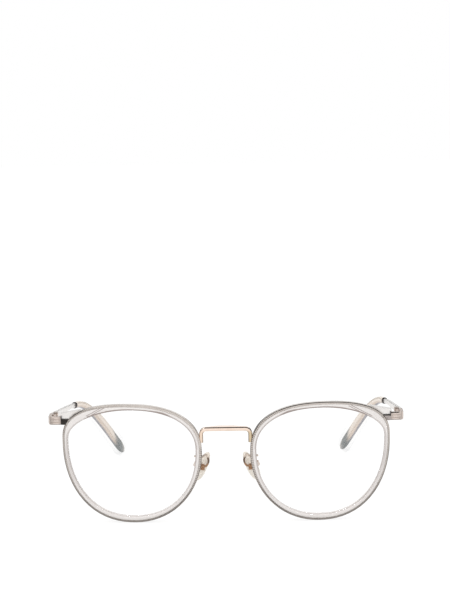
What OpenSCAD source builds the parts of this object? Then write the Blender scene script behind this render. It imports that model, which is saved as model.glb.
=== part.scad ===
// Round combination spectacle frame. Thin metal rims carry grey acetate inner rims and clear
// lenses. A square wire bridge joins the rims. Metal temples end in acetate sleeves.
// It stands as it stands on a table: on the two rims and the two temple tips.
// Left and right are the wearer's. The left side is built at +X and mirrored for the right.

/* [Front] */
// Distance between the centres of the two rims
rim_spacing = 70; // [67:0.5:74]
// Turn of each rim about the vertical, outer edge to the back
face_form_angle = 4; // [0:0.5:6]
// Forward lean of the front as it stands on a table
front_lean_angle = 3; // [0:0.5:6]
// Radius of the sphere that the lenses and rims follow
base_radius = 133; // [110:1:180]

/* [Metal rim] */
// Rim centre to the nasal edge of the metal rim
rim_nasal = 26; // [24:0.1:27]
// Rim centre to the temporal edge
rim_temporal = 25.7; // [24:0.1:28]
// Rim centre to the top
rim_top = 22.5; // [20.5:0.1:24]
// Rim centre to the bottom
rim_bottom = 22.2; // [20:0.1:25]
// Height of the widest nasal point above the rim centre
nasal_rise = 4.2; // [2:0.1:6]
// Height of the widest temporal point above the rim centre
temporal_rise = 9.6; // [6:0.1:12]
// Highest point of the rim, from the rim centre towards the temple
top_shift = 1.7; // [0:0.1:3]
// Lowest point of the rim, from the rim centre towards the nose
bottom_shift = 0.7; // [0:0.1:2]
// Width of the metal rim seen from the front
eyewire_w = 0.8; // [0.75:0.05:1.3]
// Depth of the metal rim, front to back
eyewire_d = 2.2; // [1.8:0.1:3]
// Depth of the groove inside the metal rim
eyewire_groove = 0.3; // [0.2:0.05:0.4]
// Width of that groove
eyewire_groove_w = 1; // [0.6:0.1:1.2]
// Bevel on the two outer edges of the metal rim
eyewire_bevel = 0.22; // [0.1:0.02:0.35]
// Gap where the metal rim is split behind the endpiece
split_gap = 0.3; // [0.2:0.05:0.6]

/* [Acetate inner rim] */
// Width of the acetate at the nose
band_nasal = 1.4; // [1.2:0.05:2.5]
// Width of the acetate at the top
band_top = 1.2; // [1.1:0.05:2.5]
// Width of the acetate at the temple
band_temporal = 1.1; // [1.05:0.05:2.5]
// Width of the acetate at the bottom
band_bottom = 1.4; // [1.1:0.05:2.5]
// Height of the widest nasal point of the aperture
aperture_nasal_rise = 5.4; // [4:0.1:7]
// Height of the widest temporal point of the aperture
aperture_temporal_rise = 9.1; // [7:0.1:11]
// Highest point of the aperture, towards the temple
aperture_top_shift = 0.4; // [0:0.1:2]
// Lowest point of the aperture, towards the nose
aperture_bottom_shift = 0.2; // [0:0.1:1]
// Acetate in front of the lens curve
insert_front = 1.35; // [1.1:0.05:2]
// Acetate behind the lens curve
insert_back = 1.9; // [1.3:0.05:3]
// Bevel on the edges of the acetate
insert_bevel = 0.3; // [0.1:0.05:0.45]

/* [Lens] */
// Thickness of the lens
lens_t = 1.5; // [1.3:0.1:2.2]
// Thickness of the rib round the lens edge
lens_rib_t = 1; // [0.7:0.1:1.2]
// How far the rib reaches into the acetate
lens_rib = 0.4; // [0.2:0.05:0.5]

/* [Bridge] */
// Height of the bar's middle above the rim centres
bridge_rise = 13; // [10:0.1:15]
// Height of the bar's section
bridge_h = 1.45; // [1.2:0.05:2.2]
// Depth of the bar's section at the bends, front to back
bridge_d = 1.8; // [1.4:0.05:2.4]
// Depth of its flattened middle
bridge_mid_d = 3.4; // [2.4:0.1:4]
// Bevel on the long edges of the bar
bridge_bevel = 0.3; // [0.1:0.05:0.5]
// Radius of the bends between bar and legs
bridge_bend = 1.9; // [1.5:0.1:3]
// From the middle of the rim to the middle of the leg beside it
leg_reach = 25.95; // [25.8:0.05:26.6]
// Height of the ends of the legs above the rim centres
bridge_foot_rise = 8; // [5:0.1:8.5]

/* [Endpiece] */
// Place of the endpiece round the rim, from the nasal side over the top
split_angle = 151; // [148:1:160]
// Height of the endpiece
endpiece_h = 3; // [2.6:0.1:4.5]
// From the rim to the outer face of the endpiece
endpiece_reach = 7.2; // [6.4:0.1:9]
// From the front face of the endpiece to the temple joint
endpiece_d = 6.4; // [5.5:0.1:9]
// Thickness of the endpiece and of the temple at the joint
plate_t = 1.25; // [1:0.05:1.6]
// Outer radius of the endpiece's bend
endpiece_bend = 2.6; // [1.8:0.1:3]
// Bevel on the top and bottom edges
endpiece_bevel = 0.35; // [0.1:0.05:0.5]
// Length of the step beside the rim, which bares the rim lock
step_l = 2.2; // [1.5:0.1:2.8]
// Height of the step above the endpiece's middle
step_rise = 0.45; // [0:0.05:0.6]
// Bevel along the step's front edge
step_bevel = 0.6; // [0.3:0.05:0.9]
// Diameter of the round dimple below the step
dimple_dia = 0.5; // [0.3:0.05:0.6]
// Distance of the two engraved lines on the front from its middle
line_rise = 0.5; // [0.3:0.05:0.7]
// Width of each line
line_w = 0.22; // [0.1:0.02:0.3]
// Depth of each line
line_depth = 0.12; // [0.06:0.02:0.2]

/* [Rim lock] */
// Width of each block, outward from the rim
lock_w = 2.8; // [2.4:0.1:3.2]
// Depth of each block
lock_d = 2.5; // [2:0.1:3]
// Height of the lower block
lock_h = 1.3; // [1.1:0.1:1.8]
// Height of the upper block at its outer end
lock_top_h = 2.2; // [1.8:0.1:3]
// How far the upper block reaches in behind the rim
lock_reach = 5.5; // [4:0.1:7]
// Rise of the upper block's top towards the middle of the rim
lock_rise_angle = 10; // [0:1:15]
// Diameter of the rim lock screw
lock_screw_dia = 0.9; // [0.7:0.05:1]
// Diameter of its head
lock_head_dia = 1.6; // [1.3:0.05:1.9]
// Height of its head
lock_head_h = 0.45; // [0.3:0.05:0.6]

/* [Hinge] */
// Diameter of the hinge barrels
barrel_dia = 1.9; // [1.6:0.05:2.2]
// Height of the whole hinge
hinge_h = 3; // [2.7:0.1:4]
// Share of the hinge height that the middle barrel takes
middle_barrel_share = 0.34; // [0.28:0.02:0.4]
// Diameter of the hinge screw
hinge_screw_dia = 1; // [0.8:0.05:1.1]
// Diameter of its head
hinge_head_dia = 1.7; // [1.4:0.05:1.9]
// Height of its head
hinge_head_h = 0.4; // [0.3:0.05:0.6]
// Length of the leaf on the endpiece
front_leaf = 2.6; // [2:0.1:3]
// Length of the leaf on the temple
temple_leaf = 4.2; // [3:0.1:6]

/* [Temple] */
// Length of the temple along its curve, from the joint to the tip
temple_l = 137; // [130:1:144]
// Height of the temple at the joint
temple_h = 3; // [2.4:0.1:3.6]
// Height of the temple where it enters the sleeve
temple_neck_h = 1.7; // [1.4:0.1:2.2]
// Thickness of the temple where it enters the sleeve
temple_neck_t = 1.1; // [0.9:0.05:1.3]
// Length of the bare metal, from the joint to the sleeve
bare_l = 76; // [65:1:80]
// Length of the polished collar at the sleeve's mouth
collar_l = 1.3; // [0.8:0.1:2.5]
// Height of the collar
collar_h = 2.7; // [2.5:0.05:3.2]
// Width of the collar
collar_w = 2.4; // [2.1:0.05:2.8]
// Height of the core inside the sleeve's end
core_h = 1.4; // [1:0.1:1.6]
// Thickness of the core there
core_t = 0.9; // [0.7:0.05:1]
// Sleeve left beyond the end of the core
core_short = 9; // [5:0.5:15]
// Distance along the temple to the start of the ear bend
ear_start = 79.5; // [70:0.5:85]
// Radius of the ear bend
ear_radius = 60; // [45:1:80]
// Angle of the ear bend
ear_angle = 45; // [30:1:50]
// Distance along the temple to the start of the inward curve
inward_start = 57; // [40:1:70]
// Radius of the inward curve
inward_radius = 185; // [150:5:400]

/* [Sleeve] */
// Height of the sleeve at its mouth
sleeve_mouth_h = 2.7; // [2.4:0.1:3.2]
// Width of the sleeve at its mouth
sleeve_mouth_w = 2.3; // [2:0.1:2.8]
// Height of the sleeve at its fullest
sleeve_full_h = 5.6; // [4.5:0.1:7]
// Width of the sleeve at its fullest
sleeve_full_w = 3; // [2.6:0.1:4]
// Length of the rounded end
sleeve_nose = 5; // [3.5:0.5:7]

/* [Nose pads] */
// From the middle of the rim to the pad's middle
pad_reach = 25.8; // [25:0.1:27]
// Height of the pads' middles against the rim centres
pad_drop = 3; // [2:0.1:6]
// Distance of the pads' middles behind the front
pad_back = 8; // [7:0.1:10]
// Length of a pad
pad_l = 12; // [10:0.1:14]
// Width of a pad
pad_w = 6.2; // [5.5:0.1:8]
// Thickness of a pad
pad_t = 1.9; // [1.5:0.1:2.6]
// Lean of the pads' tops towards each other
pad_lean_angle = 27; // [18:1:30]
// Turn of the pads' faces to the back
pad_splay_angle = 28; // [10:1:32]
// Diameter of the pad arm wire
arm_dia = 0.8; // [0.7:0.05:1]
// Diameter of the pad screw
pad_screw_dia = 0.7; // [0.6:0.05:0.8]

/* [Hidden] */

// Clearance between pieces that are soldered, glued or pressed together
seat = 0.03;
// Clearance round a screw in a piece that it holds
run = 0.04;
// Clearance between hinge barrels, end to end and side by side
barrel_gap = 0.07;
// Gap between the end of the endpiece and the end of the temple
joint_gap = 0.08;
// Overrun of every cut
over = 1;
// Slots in the screw heads
slot_w = 0.3;
slot_depth = 0.22;

// Fullness of each outline from the upper nasal quarter round: 2 is an ellipse
rim_fullness_shares = [2.38, 2.46, 2.22, 2.05];
aperture_fullness_shares = [2.21, 1.95, 2.22, 2.2];
rim_stations = 72;
// Sides of small round pieces, of the hinge barrels and of the base sphere
small_sides = 48;
barrel_sides = 64;
sphere_sides = 200;
slope_angle = 0.5;
radian_angle = 180 / PI;
// Every sweep and cut round a rim uses the same places, so that the pieces match
function station(i) = split_angle + i * 360 / rim_stations;

rim = [rim_nasal, rim_top, rim_temporal, rim_bottom, nasal_rise, temporal_rise, top_shift,
    bottom_shift, rim_fullness_shares];
aperture = [rim_nasal - eyewire_w - band_nasal, rim_top - eyewire_w - band_top,
    rim_temporal - eyewire_w - band_temporal, rim_bottom - eyewire_w - band_bottom,
    aperture_nasal_rise, aperture_temporal_rise, aperture_top_shift, aperture_bottom_shift,
    aperture_fullness_shares];

// Point of an outline at angle f: nasal side first, then top, temporal side and bottom
function outline(o, f) =
    let (g = f - 360 * floor(f / 360), q = floor(g / 90), c = abs(cos(g)), s = abs(sin(g)))
    let (nasal = q == 0 || q == 3, upper = q < 2)
    let (mid_u = upper ? -o[6] : o[7], mid_z = nasal ? o[4] : o[5])
    let (a = nasal ? o[0] - mid_u : o[2] + mid_u, b = upper ? o[1] - mid_z : o[3] + mid_z)
    let (k = pow(pow(c, o[8][q]) + pow(s, o[8][q]), 1 / o[8][q]))
    [mid_u + (nasal ? a : -a) * c / k, mid_z + (upper ? b : -b) * s / k];
function outward(o, f) =
    let (t = outline(o, f + slope_angle) - outline(o, f - slope_angle))
    [t[1], -t[0]] / norm(t);
function shifted(o, f, d) = outline(o, f) + d * outward(o, f);

// Depth of the base sphere at distance r from the rim's axis
function sag(r) = base_radius - sqrt(base_radius * base_radius - r * r);
// Point of an outline on the base sphere, moved back by dy
function on_curve(p, dy) = [-p[0], sag(norm(p)) + dy, p[1]];

function tilted(p, a) = [p[0], p[1] * cos(a) - p[2] * sin(a), p[1] * sin(a) + p[2] * cos(a)];
function turned(p, a) = [p[0] * cos(a) - p[1] * sin(a), p[0] * sin(a) + p[1] * cos(a), p[2]];
function swung(p, a) = [p[0] * cos(a) + p[2] * sin(a), p[1], p[2] * cos(a) - p[0] * sin(a)];
function rim_to_front(p) = turned(p, face_form_angle) + [rim_spacing / 2, 0, 0];

function between(a, b, t) = a + (b - a) * t;
function eased(t) = let (u = min(1, max(0, t))) u * u * (3 - 2 * u);

// Bar section with bevelled corners, and an oval with as many points as a doubled bar
function bar(w, h, c) = [[w / 2, c - h / 2], [w / 2, h / 2 - c], [w / 2 - c, h / 2], [c - w / 2, h / 2],
    [-w / 2, h / 2 - c], [-w / 2, c - h / 2], [c - w / 2, -h / 2], [w / 2 - c, -h / 2]];
function doubled(p) = [for (i = [0:len(p) - 1]) each [p[i], (p[i] + p[(i + 1) % len(p)]) / 2]];
oval_points = 16;
function oval(w, h) = [for (k = [0:oval_points - 1])
    let (a = (k - 1) * 360 / oval_points) [w / 2 * cos(a), h / 2 * sin(a)]];

// Solid through rings of points, closed with end faces or as a loop
// An end whose outline bends inwards is given as triangles
module skin(rings, loop = false, end = []) {
    n = len(rings);
    m = len(rings[0]);
    points = [for (r = rings) each r];
    walls = [for (i = [0:n - (loop ? 1 : 2)], j = [0:m - 1])
        let (k = (i + 1) % n, l = (j + 1) % m)
        each [[i * m + j, k * m + l, k * m + j], [i * m + j, i * m + l, k * m + l]]];
    face = len(end) > 0 ? end : [[for (j = [0:m - 1]) j]];
    ends = loop ? [] : concat([for (t = face) [for (j = [len(t) - 1:-1:0]) t[j]]],
        [for (t = face) [for (j = t) (n - 1) * m + j]]);
    polyhedron(points, concat(walls, ends));
}

// Where the endpiece meets the metal rim, in the front's own frame
split = rim_to_front(on_curve(outline(rim, split_angle), 0));
endpiece_y = split[1] - eyewire_d / 2;
outer_x = split[0] + endpiece_reach;
inner_x = outer_x - plate_t;
joint_y = endpiece_y + endpiece_d;
pin_x = inner_x - barrel_gap - barrel_dia / 2;
hinge_z = split[2];

// The front stands with its lowest rim points on the table
rim_foot = min([for (i = [0:rim_stations - 1]) let (f = station(i))
    tilted(rim_to_front(on_curve(outline(rim, f), eyewire_bevel - eyewire_d / 2)), front_lean_angle)[2]]);
front_z = -rim_foot;
front_face = min([for (i = [0:rim_stations - 1]) let (f = station(i))
    tilted(rim_to_front(on_curve(shifted(aperture, f, insert_bevel), -insert_front)),
        front_lean_angle)[1]]);

// Temple: its curve in its own frame, x outward, y back and z up from the joint
temple_steps = 68;
temple_step = temple_l / temple_steps;
function heading(s) = max(0, s - inward_start) / inward_radius * radian_angle;
function dip(s) = min(ear_angle, max(0, s - ear_start) / ear_radius * radian_angle);
function along(s) = let (a = heading(s), b = dip(s)) [-sin(a), cos(a) * cos(b), -cos(a) * sin(b)];
function across(s) = let (a = heading(s), b = dip(s)) [cos(a), sin(a) * cos(b), -sin(a) * sin(b)];
function upward(b) = [0, sin(b), cos(b)];
temple_route = [for (i = 0, p = [0, 0, 0]; i <= temple_steps;
    p = p + temple_step * along((i + 1 / 2) * temple_step), i = i + 1) p];
function place(s) = let (k = s / temple_step, i = min(temple_steps - 1, floor(k)))
    between(temple_route[i], temple_route[i + 1], k - i);
function ring(s, section, b) = [for (q = section) place(s) + q[0] * across(s) + q[1] * upward(b)];

sleeve_l = temple_l - bare_l;
core_end = temple_l - core_short;
sleeve_full_share = 0.82;
sleeve_rings = 26;
nose_rings = 5;
// Share of full size left at the sleeve's very end
nose_end_share = 0.3;
function sleeve_size(s) = let (t = (s - bare_l) / sleeve_l / sleeve_full_share)
    [between(sleeve_mouth_w, sleeve_full_w, eased(t)), between(sleeve_mouth_h, sleeve_full_h, eased(t))];
sleeve_outside = concat(
    [for (i = [0:sleeve_rings]) let (s = bare_l + (sleeve_l - sleeve_nose) * i / sleeve_rings,
        z = sleeve_size(s)) ring(s, oval(z[0], z[1]), dip(s))],
    [for (i = [1:nose_rings]) let (u = i / nose_rings * (1 - nose_end_share / nose_rings),
        s = temple_l - sleeve_nose * (1 - u), k = sqrt(1 - u * u), z = sleeve_size(s) * k)
        ring(s, oval(z[0], z[1]), dip(s))]);

// Slope of the temples at which the sleeves just reach the table
hinge_point = tilted([pin_x, joint_y, hinge_z], front_lean_angle) + [0, 0, front_z];
temple_slope_angle = min([for (r = sleeve_outside) for (p = r)
    asin(hinge_point[2] / norm([p[1], p[2]])) - atan2(-p[2], p[1])]);
temple_pitch_angle = temple_slope_angle + front_lean_angle;
rear_end = max([for (r = sleeve_outside) for (p = r) tilted(p, -temple_slope_angle)[1]]);

// Middle of the whole length over the origin
front_y = -(front_face + hinge_point[1] + rear_end) / 2;

metal_bevel = 0.25;
core_bevel = 0.15;
function metal_w(s) = s < bare_l ? between(plate_t, temple_neck_t, s / bare_l)
    : between(temple_neck_t, core_t, (s - bare_l) / (core_end - bare_l));
function metal_h(s) = s < bare_l ? between(temple_h, temple_neck_h, s / bare_l)
    : between(temple_neck_h, core_h, (s - bare_l) / (core_end - bare_l));
function metal_c(s) = s < bare_l ? between(metal_bevel, core_bevel, s / bare_l) : core_bevel;
bare_rings = 12;
core_rings = 20;
core_places = [for (i = [0:core_rings]) between(bare_l, core_end, i / core_rings)];
bore_beyond = 0.5;

module in_front() { translate([0, front_y, front_z]) rotate([front_lean_angle, 0, 0]) children(); }
module in_rim() { in_front() translate([rim_spacing / 2, 0, 0]) rotate([0, 0, face_form_angle]) children(); }
module in_temple() {
    translate([0, front_y, 0]) translate(hinge_point + [inner_x + plate_t / 2 - pin_x, 0, 0])
        rotate([-temple_slope_angle, 0, 0]) children();
}
module right() { mirror([1, 0, 0]) children(); }

// Everything inside a metal rim's outer edge, in the front's frame, grown by c
module rim_space(c) {
    translate([rim_spacing / 2, 0, 0]) rotate([0, 0, face_form_angle]) rotate([90, 0, 0])
        linear_extrude(height = rim_top, center = true)
            polygon([for (i = [0:rim_stations - 1])
                let (p = shifted(rim, station(i), c)) [-p[0], p[1]]]);
}
// Block between two corners
module block(a, b) { translate(a) cube(b - a); }

// Bridge: one square wire with a bend at each end, its legs soldered along the two rims
bridge_leg_x = rim_spacing / 2 - leg_reach;
bend_x = bridge_leg_x - bridge_bend;
// The bridge stands at the depth of the rims' middle line at this place round them
bridge_angle = 17.5;
bridge_y = rim_to_front(on_curve(outline(rim, bridge_angle), 0))[1];
bar_rings = 24;
bend_rings = 10;
// Share of each half of the bar over which it widens to its flat middle
bridge_flare_share = 0.7;
function bridge_depth(x) = between(bridge_d, bridge_mid_d, eased((1 - abs(x) / bend_x) / bridge_flare_share));
// Section round a point of the wire's middle line, its outer side towards n
function bridge_ring(x, z, n, d) = [for (q = bar(d, bridge_h, bridge_bevel))
    [x + q[1] * n[0], bridge_y + (d - bridge_d) / 2 + q[0], z + q[1] * n[1]]];
function bridge_turn(side, a) = let (n = [cos(a), sin(a)])
    bridge_ring(side * bend_x + bridge_bend * n[0], bridge_rise + bridge_bend * (n[1] - 1), n, bridge_d);
bridge_wire = concat([bridge_ring(bridge_leg_x, bridge_foot_rise, [1, 0], bridge_d)],
    [for (i = [0:bend_rings]) bridge_turn(1, 90 * i / bend_rings)],
    [for (i = [1:bar_rings - 1]) let (x = bend_x * (1 - 2 * i / bar_rings))
        bridge_ring(x, bridge_rise, [0, 1], bridge_depth(x))],
    [for (i = [bend_rings:-1:0]) bridge_turn(-1, 180 - 90 * i / bend_rings)],
    [bridge_ring(-bridge_leg_x, bridge_foot_rise, [-1, 0], bridge_d)]);
module bridge() {
    color([0.90, 0.72, 0.62]) in_front() difference() {
        skin(bridge_wire);
        rim_space(seat);
        right() rim_space(seat);
    }
}

// Metal rim: a grooved band, split behind the endpiece where the rim lock closes it
function eyewire_section(f) = let (h = eyewire_d / 2, w = eyewire_w, c = eyewire_bevel,
    g = eyewire_groove_w / 2, e = eyewire_groove)
    [for (q = [[-w, -h], [-c, -h], [0, c - h], [0, h - c], [-c, h], [-w, h],
        [-w, g], [e - w, g], [e - w, -g], [-w, -g]]) on_curve(shifted(rim, f, q[0]), q[1])];
split_half_angle = split_gap / 2 / norm(outline(rim, split_angle)) * radian_angle;
module eyewire() {
    color([0.78, 0.72, 0.69]) in_rim() skin(concat(
        [eyewire_section(split_angle + split_half_angle)],
        [for (i = [1:rim_stations - 1]) eyewire_section(station(i))],
        [eyewire_section(split_angle + 360 - split_half_angle)]),
        end = [[8, 9, 0], [8, 0, 1], [8, 1, 2], [8, 2, 3], [8, 3, 4], [8, 4, 7], [7, 4, 5], [7, 5, 6]]);
}

// Acetate inner rim: a tongue sits in the metal rim's groove, a groove inside holds the lens
function insert_section(f) = let (o = -eyewire_w - seat, c = insert_bevel, a = insert_front, b = insert_back,
    g = eyewire_groove_w / 2 - seat, e = eyewire_groove, l = lens_rib_t / 2 + seat, d = lens_rib + seat)
    concat([for (q = [[0, c - a], [c, -a]]) on_curve(shifted(aperture, f, q[0]), q[1])],
        [for (q = [[o - c, -a], [o, c - a], [o, -g], [o + e, -g], [o + e, g], [o, g], [o, b - c], [o - c, b]])
            on_curve(shifted(rim, f, q[0]), q[1])],
        [for (q = [[c, b], [0, b - c], [0, l], [d, l], [d, -l], [0, -l]])
            on_curve(shifted(aperture, f, q[0]), q[1])]);
module rim_insert() {
    color([0.80, 0.78, 0.76, 0.6]) in_rim()
        skin([for (i = [0:rim_stations - 1]) insert_section(station(i))], loop = true);
}

// Lens: a spherical shell cut to the aperture, with a thinner rib in the acetate's groove
module lens_slice(grow, t) {
    intersection() {
        rotate([90, 0, 0]) linear_extrude(height = rim_top, center = true)
            polygon([for (i = [0:rim_stations - 1])
                let (p = shifted(aperture, station(i), grow)) [-p[0], p[1]]]);
        translate([0, base_radius, 0]) difference() {
            sphere(r = base_radius + t / 2, $fn = sphere_sides);
            sphere(r = base_radius - t / 2, $fn = sphere_sides);
        }
    }
}
module lens() {
    color([0.93, 0.96, 0.97, 0.3]) in_rim() union() {
        lens_slice(-seat, lens_t);
        lens_slice(lens_rib, lens_rib_t);
    }
}

// Endpiece: a plate from the rim's side, bent back to the temple
endpiece_lead = endpiece_h / 2;
bend_sides = 12;
function bend_arc(r, a, b) = [for (i = [0:bend_sides]) let (t = between(a, b, i / bend_sides))
    [outer_x - endpiece_bend + r * cos(t), endpiece_y + endpiece_bend + r * sin(t)]];
module endpiece() {
    plan = concat([[split[0] - endpiece_lead, endpiece_y]], bend_arc(endpiece_bend, -90, 0),
        [[outer_x, joint_y], [inner_x, joint_y]], bend_arc(endpiece_bend - plate_t, 0, -90),
        [[split[0] - endpiece_lead, endpiece_y + plate_t]]);
    high = hinge_z + endpiece_h / 2;
    low = hinge_z - endpiece_h / 2;
    c = endpiece_bevel;
    back = joint_y + over;
    near = split[0] - endpiece_lead - over;
    step_z = hinge_z + step_rise;
    color([0.82, 0.75, 0.71]) in_front() difference() {
        intersection() {
            translate([0, 0, low]) linear_extrude(height = endpiece_h) polygon(plan);
            translate([near, 0, 0]) rotate([90, 0, 90]) linear_extrude(height = outer_x - near + over)
                polygon([[endpiece_y, low + c], [endpiece_y + c, low], [back, low], [back, high],
                    [endpiece_y + c, high], [endpiece_y, high - c]]);
            translate([0, back, 0]) rotate([90, 0, 0]) linear_extrude(height = back - endpiece_y + over)
                polygon([[near, low], [outer_x - c, low], [outer_x, low + c], [outer_x, high - c],
                    [outer_x - c, high], [near, high]]);
        }
        rim_space(seat);
        translate([near, 0, 0]) rotate([90, 0, 90]) linear_extrude(height = split[0] + step_l - near)
            polygon([[endpiece_y - over, high + over], [back, high + over], [back, step_z],
                [endpiece_y + step_bevel, step_z], [endpiece_y - over, step_z - step_bevel - over]]);
        for (z = [hinge_z - line_rise, hinge_z + line_rise])
            block([split[0] + step_l + line_w, endpiece_y - over, z - line_w / 2],
                [outer_x + over, endpiece_y + line_depth, z + line_w / 2]);
        translate([split[0] + step_l / 2, endpiece_y + line_depth, (low + step_z) / 2 - line_w])
            rotate([90, 0, 0]) cylinder(d = dimple_dia, h = over, $fn = small_sides);
    }
}

// Rim lock: two blocks soldered to the rim's ends, drawn together by a screw from below
// The upper block reaches in behind the rim, its top rising to meet the rim's outline
lock_edge = 0.2;
lock_y = endpiece_y + plate_t + seat;
lock_screw_at = [split[0] + lock_w - lock_head_dia / 2 - lock_edge, lock_y + lock_d / 2, hinge_z];
lock_screw_short = 0.15;
lock_low = hinge_z - split_gap / 2 - lock_h;
lock_screw_l = 2 * lock_h + split_gap - lock_screw_short;
// Block with the side outline given, from x and z, bored for the screw
module lock_block(side) {
    color([0.80, 0.76, 0.73]) in_front() difference() {
        translate([0, lock_y + lock_d, 0]) rotate([90, 0, 0]) linear_extrude(height = lock_d) polygon(side);
        rim_space(seat);
        translate([lock_screw_at[0], lock_screw_at[1], lock_low - over])
            cylinder(d = lock_screw_dia + 2 * run, h = lock_screw_l + lock_screw_short + over,
                $fn = small_sides);
    }
}
module rim_lock_upper() {
    z = hinge_z + split_gap / 2;
    out = split[0] + lock_w;
    in = split[0] - lock_reach;
    lock_block([[in, z], [out, z], [out, z + lock_top_h],
        [in, z + lock_top_h + (out - in) * tan(lock_rise_angle)]]);
}
module rim_lock_lower() {
    out = split[0] + lock_w;
    in = split[0] - lock_h;
    lock_block([[in, lock_low], [out, lock_low], [out, lock_low + lock_h], [in, lock_low + lock_h]]);
}
module slotted_screw(dia, l, head_dia, head_h) {
    cylinder(d = dia, h = l, $fn = small_sides);
    translate([0, 0, -head_h]) difference() {
        cylinder(d = head_dia, h = head_h, $fn = small_sides);
        block([-head_dia, -slot_w / 2, -over], [head_dia, slot_w / 2, slot_depth]);
    }
}
module rim_lock_screw() {
    color([0.75, 0.70, 0.66]) in_front()
        translate(lock_screw_at - [0, 0, split_gap / 2 + lock_h + seat])
            slotted_screw(lock_screw_dia, lock_screw_l, lock_head_dia, lock_head_h);
}

// Hinge: two barrels on the endpiece, one on the temple, and a screw from above
barrel_r = barrel_dia / 2;
leaf_t = 0.6;
// Where the front leaf starts on its barrels, from the pin inwards
leaf_start_share = 0.5;
middle_half = hinge_h * middle_barrel_share / 2;
module pin_hole() {
    translate([pin_x, joint_y, hinge_z - hinge_h])
        cylinder(d = hinge_screw_dia + 2 * run, h = 2 * hinge_h, $fn = small_sides);
}
module front_barrel(z0, z1) {
    translate([pin_x, joint_y, z0]) cylinder(r = barrel_r, h = z1 - z0, $fn = barrel_sides);
    translate([0, 0, z0]) linear_extrude(height = z1 - z0)
        polygon([[pin_x - leaf_start_share * barrel_r, joint_y],
            [inner_x - seat - leaf_t, joint_y - front_leaf],
            [inner_x - seat, joint_y - front_leaf], [inner_x - seat, joint_y]]);
}
module front_hinge() {
    top = hinge_z + hinge_h / 2;
    bottom = hinge_z - hinge_h / 2;
    color([0.80, 0.74, 0.70]) in_front() difference() {
        union() {
            front_barrel(hinge_z + middle_half + barrel_gap / 2, top);
            front_barrel(bottom, hinge_z - middle_half - barrel_gap / 2);
            block([inner_x - seat - leaf_t, joint_y - front_leaf, bottom],
                [inner_x - seat, joint_y - barrel_r - barrel_gap, top]);
        }
        pin_hole();
    }
}
module temple_hinge() {
    h = 2 * middle_half - barrel_gap;
    color([0.80, 0.74, 0.70]) difference() {
        union() {
            in_front() translate([pin_x, joint_y, hinge_z - h / 2]) {
                cylinder(r = barrel_r, h = h, $fn = barrel_sides);
                block([0, 0, 0], [inner_x - seat - pin_x, barrel_r + barrel_gap, h]);
            }
            in_temple() block([-plate_t / 2 - seat - leaf_t, barrel_r + barrel_gap, -h / 2],
                [-plate_t / 2 - seat, temple_leaf, h / 2]);
        }
        in_front() pin_hole();
    }
}
module hinge_screw() {
    color([0.72, 0.67, 0.64]) in_front() translate([pin_x, joint_y, hinge_z + hinge_h / 2 + seat])
        rotate([180, 0, 0]) slotted_screw(hinge_screw_dia, hinge_h, hinge_head_dia, hinge_head_h);
}

// Temple: one flat strip of metal that runs on as a slim core inside the sleeve
module temple() {
    first = joint_gap + plate_t;
    color([0.86, 0.84, 0.84]) in_temple() skin(concat(
        [ring(joint_gap, bar(plate_t, temple_h, metal_bevel), -temple_pitch_angle)],
        [for (i = [0:bare_rings - 1]) let (s = between(first, bare_l, i / bare_rings))
            ring(s, bar(metal_w(s), metal_h(s), metal_c(s)), dip(s))],
        [for (s = core_places) ring(s, bar(metal_w(s), metal_h(s), metal_c(s)), dip(s))]));
}

// Collar: a small ring pushed over the strip, against the mouth of the sleeve
collar_bevel = 0.15;
module temple_collar() {
    near = bare_l - seat - collar_l;
    far = bare_l - seat;
    c = 2 * collar_bevel;
    color([0.45, 0.43, 0.42]) in_temple() skin([
        for (s = [far, near])
            ring(s, doubled(bar(metal_w(s) + 2 * run, metal_h(s) + 2 * run, metal_c(s))), dip(s)),
        for (q = [[near, c], [near + collar_bevel, 0], [far - collar_bevel, 0], [far, c]])
            ring(q[0], oval(collar_w - q[1], collar_h - q[1]), dip(q[0]))], loop = true);
}

// Acetate sleeve: slim at its mouth, full and rounded behind the ear, with a bore for the core
module temple_sleeve() {
    bore = [for (i = [core_rings:-1:0]) let (s = core_places[i])
        ring(s, doubled(bar(metal_w(s) + 2 * run, metal_h(s) + 2 * run, core_bevel)), dip(s))];
    blind = core_end + bore_beyond;
    deep = ring(blind, doubled(bar(core_t + 2 * run, core_h + 2 * run, core_bevel)), dip(blind));
    color([0.66, 0.62, 0.60, 0.8]) in_temple() skin(concat([deep], bore, sleeve_outside));
}

// Nose pads: each rocks on a screw in a cup at the end of its wire arm
// In a pad's own frame x points away from the nose, y to the back and z up along the pad
pad_x = rim_spacing / 2 - pad_reach;
pad_at = [pad_x, pad_back, -pad_drop];
function pad_to_front(p) = swung(turned(p, -pad_splay_angle), -pad_lean_angle) + pad_at;
module in_pad() {
    in_front() translate(pad_at) rotate([0, -pad_lean_angle, 0]) rotate([0, 0, -pad_splay_angle]) children();
}
disc_dia = 3;
disc_t = 0.45;
lug_w = 0.9;
lug_r = 0.75;
cheek_t = 0.4;
cup_gap = 0.1;
pad_clear = 0.28;
pin_out = pad_t / 2 + pad_clear + lug_r;
cup_base = pin_out + lug_r + cup_gap;
cup_w = lug_w + 2 * cup_gap + 2 * cheek_t;
cup_h = 1.8;
pad_points = 24;
pad_taper_share = 0.16;
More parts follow.
